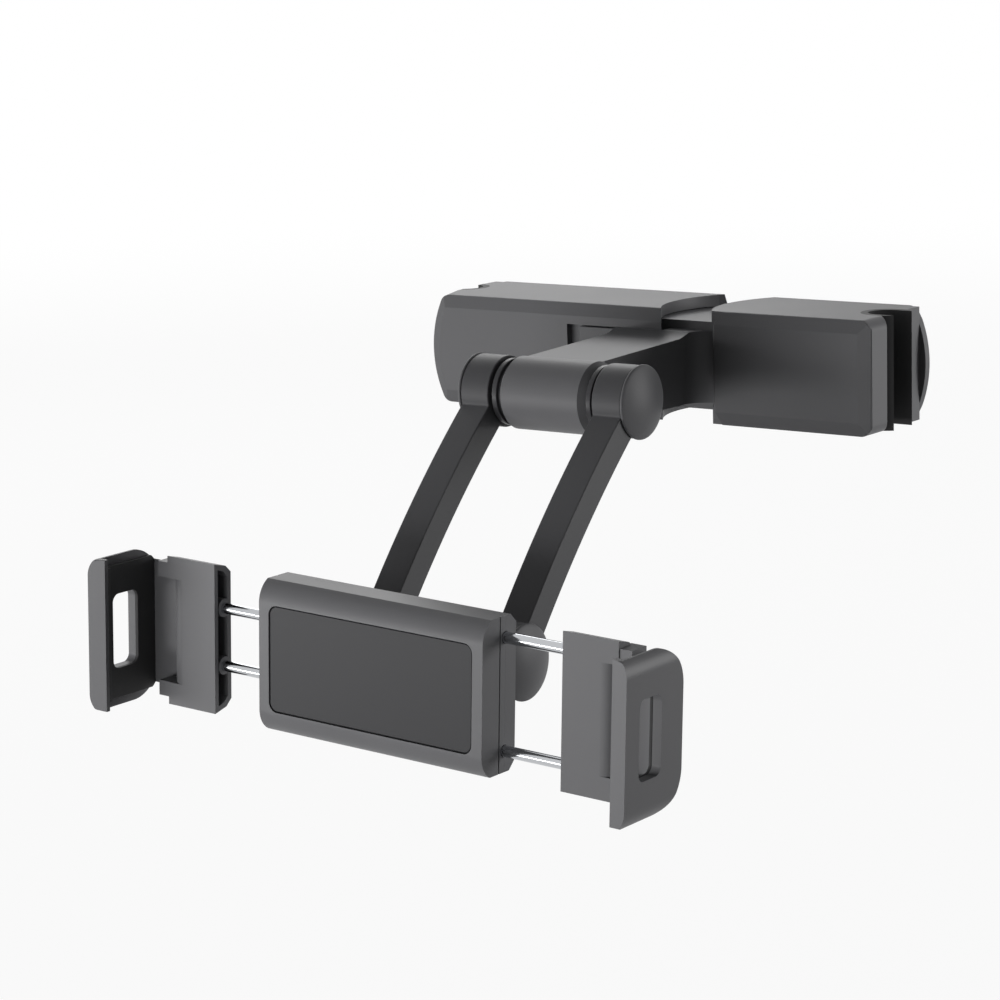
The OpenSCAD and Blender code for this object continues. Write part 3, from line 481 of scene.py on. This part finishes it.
class Geometry:
    """A Geometry Nodes tree with named inputs, fed from the vertices of a mesh."""

    def __init__(self, name):
        self.tree = bpy.data.node_groups.new(name, "GeometryNodeTree")
        self.inputs = {}
        self.add_socket("Places", "NodeSocketGeometry")
        self.tree.interface.new_socket(
            "Geometry",
            in_out="OUTPUT",
            socket_type="NodeSocketGeometry",
        )
        self.entry = self.node("NodeGroupInput")

    def add_socket(self, name, kind, value=None):
        socket = self.tree.interface.new_socket(name, in_out="INPUT", socket_type=kind)
        self.inputs[name] = socket.identifier
        if value is not None:
            socket.default_value = value

    def add_size(self, name, metres):
        self.add_socket(name, "NodeSocketFloat", metres)

    def node(self, kind, settings=None, inputs=None):
        made = self.tree.nodes.new(kind)
        for key, value in (settings or {}).items():
            setattr(made, key, value)
        for key, value in (inputs or {}).items():
            self.feed(made.inputs[key], value)
        return made

    def feed(self, socket, value):
        """Links a socket to another or to a named input, or gives it a fixed value."""
        if isinstance(value, bpy.types.NodeSocket):
            self.tree.links.new(value, socket)
        elif isinstance(value, str):
            self.tree.links.new(self.entry.outputs[value], socket)
        else:
            socket.default_value = value

    def maths(self, operation, first, second):
        made = self.node("ShaderNodeMath", {"operation": operation})
        self.feed(made.inputs[0], first)
        self.feed(made.inputs[1], second)
        return made.outputs[0]

    def times(self, first, second):
        return self.maths("MULTIPLY", first, second)

    def minus(self, first, second):
        return self.maths("SUBTRACT", first, second)

    def cylinder(self, sides, radius, depth):
        sizes = {"Vertices": sides, "Radius": radius, "Depth": depth}
        return self.node("GeometryNodeMeshCylinder", {}, sizes).outputs["Mesh"]

    def raised(self, geometry, height):
        """The geometry moved up along Z."""
        made = self.node("GeometryNodeTransform", {}, {"Geometry": geometry})
        shift = self.node("ShaderNodeCombineXYZ", {}, {"Z": height}).outputs[0]
        self.feed(made.inputs["Translation"], shift)
        return made.outputs[0]

    def joined(self, *geometries):
        made = self.node("GeometryNodeJoinGeometry")
        for geometry in geometries:
            self.feed(made.inputs[0], geometry)
        return made.outputs[0]

    def place_on_points(self, geometry, material):
        """Puts one copy on every point, makes it real and gives it its material."""
        points = self.node("GeometryNodeMeshToPoints", {}, {"Mesh": "Places"}).outputs[0]
        copy_inputs = {"Points": points, "Instance": geometry, "Rotation": "Turn"}
        copies = self.node("GeometryNodeInstanceOnPoints", {}, copy_inputs).outputs[0]
        real = self.node("GeometryNodeRealizeInstances", {}, {"Geometry": copies}).outputs[0]
        smooth_inputs = {"Geometry": real, "Shade Smooth": True}
        smooth = self.node("GeometryNodeSetShadeSmooth", {}, smooth_inputs).outputs[0]
        finish_inputs = {"Geometry": smooth, "Material": material}
        finish = self.node("GeometryNodeSetMaterial", {}, finish_inputs).outputs[0]
        exit_node = self.node("NodeGroupOutput")
        self.tree.links.new(finish, exit_node.inputs[0])


def screw_tree():
    """Pan head with a hexagon socket and a shank, its head's outer face at the point."""
    head_sides, shank_sides, socket_sides = 40, 24, 6
    rim_share, crown_width_share, socket_depth_share = 0.62, 0.8, 1.25
    tree = Geometry("screw")
    tree.add_size("Head radius", 0.0027)
    tree.add_size("Head height", screw_head_height)
    tree.add_size("Shank radius", 0.0015)
    tree.add_size("Shank length", 0.007)
    tree.add_size("Socket radius", 0.0013)
    tree.add_socket("Turn", "NodeSocketRotation")

    rim_height = tree.times("Head height", rim_share)
    crown_height = tree.minus("Head height", rim_height)
    rim = tree.cylinder(head_sides, "Head radius", rim_height)
    crown_sizes = {
        "Vertices": head_sides,
        "Radius Top": tree.times("Head radius", crown_width_share),
        "Radius Bottom": "Head radius",
        "Depth": crown_height,
    }
    crown = tree.node("GeometryNodeMeshCone", {}, crown_sizes).outputs["Mesh"]
    rim_place = tree.minus(tree.times(rim_height, -0.5), crown_height)
    crown_place = tree.times(crown_height, -1.0)
    head = tree.joined(tree.raised(rim, rim_place), tree.raised(crown, crown_place))
    merge_inputs = {"Geometry": head, "Distance": 0.00001}
    merged = tree.node("GeometryNodeMergeByDistance", {}, merge_inputs).outputs[0]

    socket_depth = tree.times("Head height", socket_depth_share)
    hexagon = tree.cylinder(socket_sides, "Socket radius", socket_depth)
    cut = tree.node("GeometryNodeMeshBoolean", {"operation": "DIFFERENCE"})
    tree.feed(cut.inputs["Mesh 1"], merged)
    tree.feed(cut.inputs["Mesh 2"], hexagon)
    shank = tree.cylinder(shank_sides, "Shank radius", "Shank length")
    shank_place = tree.minus(tree.times("Shank length", -0.5), "Head height")
    return tree, tree.joined(cut.outputs[0], tree.raised(shank, shank_place))


def spring_tree():
    """Helical coil of round wire that rises along Z from the point."""
    steps_per_turn, wire_sides = 20, 6
    pitch_in_wire_radii = 2.6
    tree = Geometry("coil_spring")
    tree.add_size("Length", 0.015)
    tree.add_size("Mean radius", 0.0023)
    tree.add_size("Wire radius", 0.0003)
    tree.add_socket("Turn", "NodeSocketRotation")
    rise = tree.minus("Length", tree.times("Wire radius", 2.0))
    turns = tree.maths("DIVIDE", rise, tree.times("Wire radius", pitch_in_wire_radii))
    helix_sizes = {
        "Resolution": steps_per_turn,
        "Rotations": turns,
        "Height": rise,
        "Start Radius": "Mean radius",
        "End Radius": "Mean radius",
    }
    helix = tree.node("GeometryNodeCurveSpiral", {}, helix_sizes).outputs[0]
    section_sizes = {"Resolution": wire_sides, "Radius": "Wire radius"}
    section = tree.node("GeometryNodeCurvePrimitiveCircle", {}, section_sizes).outputs[0]
    wire_inputs = {"Curve": helix, "Profile Curve": section, "Fill Caps": True}
    wire = tree.node("GeometryNodeCurveToMesh", {}, wire_inputs).outputs[0]
    return tree, tree.raised(wire, "Wire radius")


def repeated(node, tree_maker, places, turn, **sizes):
    """One shape repeated at the given places, in place of a CAD node."""
    tree, shape = tree_maker()
    tree.place_on_points(shape, slot_material[slot_of[node]])
    seed = bpy.data.meshes.new(node + "_places")
    seed.from_pydata(places, [], [])
    carrier = bpy.data.objects.new(node + "_places", seed)
    bpy.context.scene.collection.objects.link(carrier)
    modifier = carrier.modifiers.new("repeat", "NODES")
    modifier.node_group = tree.tree
    modifier[tree.inputs["Turn"]] = turn
    for key, value in sizes.items():
        modifier[tree.inputs[key.replace("_", " ").capitalize()]] = value
    evaluated = carrier.evaluated_get(bpy.context.evaluated_depsgraph_get())
    mesh = bpy.data.meshes.new_from_object(evaluated)
    bpy.data.objects.remove(carrier)
    return dress(mesh, node + "_repeated", node)


def screws(node, head_radius=None):
    """Screws whose heads look along +Y, one for each solid of the node."""
    found = islands(node)
    first_low, first_high = found[0]
    repeated(
        node,
        screw_tree,
        places=[((low.x + high.x) / 2, high.y, (low.z + high.z) / 2) for low, high in found],
        turn=(math.radians(-90), 0.0, 0.0),
        head_radius=head_radius or (first_high.x - first_low.x) / 2,
        head_height=screw_head_height,
        shank_length=first_high.y - first_low.y - screw_head_height,
    )


def springs(node, wire_radius, joint, held_end, shortening):
    """Coils from left to right, one for each solid of the node."""
    along = Vector(joints[joint]["axis"])
    along = along if along.x > 0 else -along
    found = islands(node)
    last_low, last_high = found[-1]
    radius = (last_high.y - last_low.y) / 2
    length = (last_high.x - last_low.x + 2 * radius * along.z) / along.x
    places = []
    for low, high in found:
        start_x = low.x - radius * along.z
        start_z = high.z - radius * along.x
        places.append((start_x, (low.y + high.y) / 2, start_z))
    piece = repeated(
        node,
        spring_tree,
        places,
        turn=(0.0, math.atan2(along.x, along.z), 0.0),
        length=length,
        mean_radius=radius - wire_radius,
        wire_radius=wire_radius,
    )
    anchor = Vector(places[0]) + along * (length if held_end == "right" else 0.0)
    keep = 1 - shortening / length
    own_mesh(piece)


for screw_node in cover_screws.values():
    screws(screw_node, cover_head_radius)
for screw_node in ("core_screws", "holder_screws"):
    screws(screw_node)

slider_wire_radius = 0.00025
slider_spring_shortening = 0.0047
jaw_wire_radius = 0.00032
# How much more than the jaw's way out its springs shorten
jaw_spring_room = 0.0004
jaw_close, jaw_open = joints["right_jaw_travel"]["range_m"]
jaw_spring_shortening = (jaw_open + jaw_spring_room) * -jaw_close / jaw_open
springs("slider_spring", slider_wire_radius, "slider_travel", "left", slider_spring_shortening)
for side in ("right", "left"):
    jaw_joint = side + "_jaw_travel"
    springs(side + "_jaw_springs", jaw_wire_radius, jaw_joint, side, jaw_spring_shortening)

for node_name, node_object in nodes.items():
    if node_name in edge_width:
        edge_softened(node_name, edge_width[node_name])
    elif node_name not in dressed_nodes:
        for material_slot in node_object.material_slots:
            material_slot.material = slot_material[slot_of[node_name]]


# Camera at the photograph's place

camera_place = (0.71157, -0.96348, 0.16443)
camera_right = (0.8123, 0.5827, -0.0262)
camera_ahead = (-0.5767, 0.7956, -0.1860)
camera_lens = 114.80


def set_camera():
    camera_data = bpy.data.cameras.new("camera")
    camera_data.sensor_width = 36.0
    camera_data.lens = camera_lens
    camera_data.clip_start = 0.05
    camera_data.clip_end = 20.0
    camera = bpy.data.objects.new("camera", camera_data)
    bpy.context.scene.collection.objects.link(camera)
    ahead = Vector(camera_ahead).normalized()
    up = Vector(camera_right).normalized().cross(ahead).normalized()
    right = ahead.cross(up).normalized()
    turn = Matrix((right, up, -ahead)).transposed()
    camera.matrix_world = Matrix.Translation(Vector(camera_place)) @ turn.to_4x4()
    bpy.context.scene.camera = camera


set_camera()


# Studio: white surround, pale floor and large soft lamps

surround_light = 0.045
floor_drop = 0.09
floor_middle = (0.1, -0.1)
floor_radius = 6.0
floor_white = ((0.93, 0.93, 0.93, 1.0), (0.96, 0.96, 0.96, 1.0))
# Grey by which the floor throws light back on the mount
floor_grey = (0.4, 0.4, 0.4, 1.0)
# Share of the floor that glows where it is seen, near the mount and far from it
floor_glow_near, floor_glow_far = 0.92, 1.0
floor_fade_distance, floor_fade_width = 1.6, 0.9


def background(tree, colour, strength):
    made = tree.nodes.new("ShaderNodeBackground")
    made.inputs["Color"].default_value = colour
    made.inputs["Strength"].default_value = strength
    return made.outputs[0]


def set_surround():
    """Surround that is white to the camera and in reflections, and dim as a light."""
    world = bpy.data.worlds.new("surround")
    bpy.context.scene.world = world
    world.use_nodes = True
    tree = world.node_tree
    tree.nodes.clear()
    path = tree.nodes.new("ShaderNodeLightPath")
    seen = path.outputs["Is Camera Ray"]
    for ray in ("Is Transmission Ray", "Is Glossy Ray"):
        either = tree.nodes.new("ShaderNodeMath")
        either.operation = "MAXIMUM"
        tree.links.new(seen, either.inputs[0])
        tree.links.new(path.outputs[ray], either.inputs[1])
        seen = either.outputs[0]
    mix = tree.nodes.new("ShaderNodeMixShader")
    tree.links.new(seen, mix.inputs[0])
    tree.links.new(background(tree, (0.96, 0.98, 1.0, 1.0), surround_light), mix.inputs[1])
    tree.links.new(background(tree, (1.0, 1.0, 1.0, 1.0), 1.0), mix.inputs[2])
    out = tree.nodes.new("ShaderNodeOutputWorld")
    tree.links.new(mix.outputs[0], out.inputs[0])


def pale_floor():
    """Floor finish that is white to the camera and in reflections, and keeps shadows."""
    graph = Graph("floor_pale")
    cloud = graph.noise(per_metre=3.0)
    path = graph.node("LightPath")
    by_camera = Signal(graph, path.outputs["Is Camera Ray"])
    by_gloss = Signal(graph, path.outputs["Is Glossy Ray"])
    by_glass = Signal(graph, path.outputs["Is Transmission Ray"])
    seen = (by_camera + by_gloss + by_glass).above(edge=0.5, soft=0.1)
    paint = graph.blend(seen, floor_grey, graph.blend(cloud, *floor_white))
    graph.finish(paint, roughness=0.9, specular=0.0)
    distance = graph.node("VectorMath", {"operation": "LENGTH"})
    graph.feed(distance.inputs[0], graph.object_place)
    far = Signal(graph, distance.outputs["Value"]).above(floor_fade_distance, floor_fade_width)
    glow_share = seen * (floor_glow_near + far * (floor_glow_far - floor_glow_near))
    mix = graph.node("MixShader", {}, {"Fac": glow_share})
    graph.tree.links.new(graph.shader.outputs[0], mix.inputs[1])
    graph.tree.links.new(graph.node("Emission").outputs[0], mix.inputs[2])
    surface = graph.tree.nodes["Material Output"].inputs["Surface"]
    graph.tree.links.new(mix.outputs[0], surface)
    return graph.material


def set_floor(height):
    disc = bmesh.new()
    bmesh.ops.create_circle(disc, cap_ends=True, radius=floor_radius, segments=96)
    bmesh.ops.translate(disc, verts=disc.verts, vec=(*floor_middle, height))
    floor = object_from(disc, "floor")
    floor.data.materials.append(pale_floor())


def add_lamp(name, place, aim, size, watts):
    """Rectangular lamp that faces its aim."""
    lamp_data = bpy.data.lights.new(name, "AREA")
    lamp_data.shape = "RECTANGLE"
    lamp_data.size, lamp_data.size_y = size
    lamp_data.energy = watts
    lamp = bpy.data.objects.new(name, lamp_data)
    bpy.context.scene.collection.objects.link(lamp)
    lamp.location = place
    direction = Vector(aim) - Vector(place)
    lamp.rotation_mode = "QUATERNION"
    lamp.rotation_quaternion = direction.to_track_quat("-Z", "Y")


set_surround()
set_floor(cad_box[0][2] - floor_drop)
add_lamp("high_rear", place=(-0.8, 0.7, 0.65), aim=(0.1, -0.1, 0.0), size=(1.0, 0.6), watts=5.5)
add_lamp("front_left", place=(-1.2, -0.85, 0.0), aim=(0.1, -0.1, -0.02), size=(0.5, 0.5), watts=6.0)
add_lamp("low_front", place=(-0.15, -0.75, -0.17), aim=(0.1, -0.1, -0.02), size=(1.0, 0.12), watts=5.6)
add_lamp("right_rear", place=(1.05, 0.75, 0.05), aim=(0.1, -0.1, -0.03), size=(0.5, 0.6), watts=8.0)

bpy.context.scene.view_settings.view_transform = "Standard"
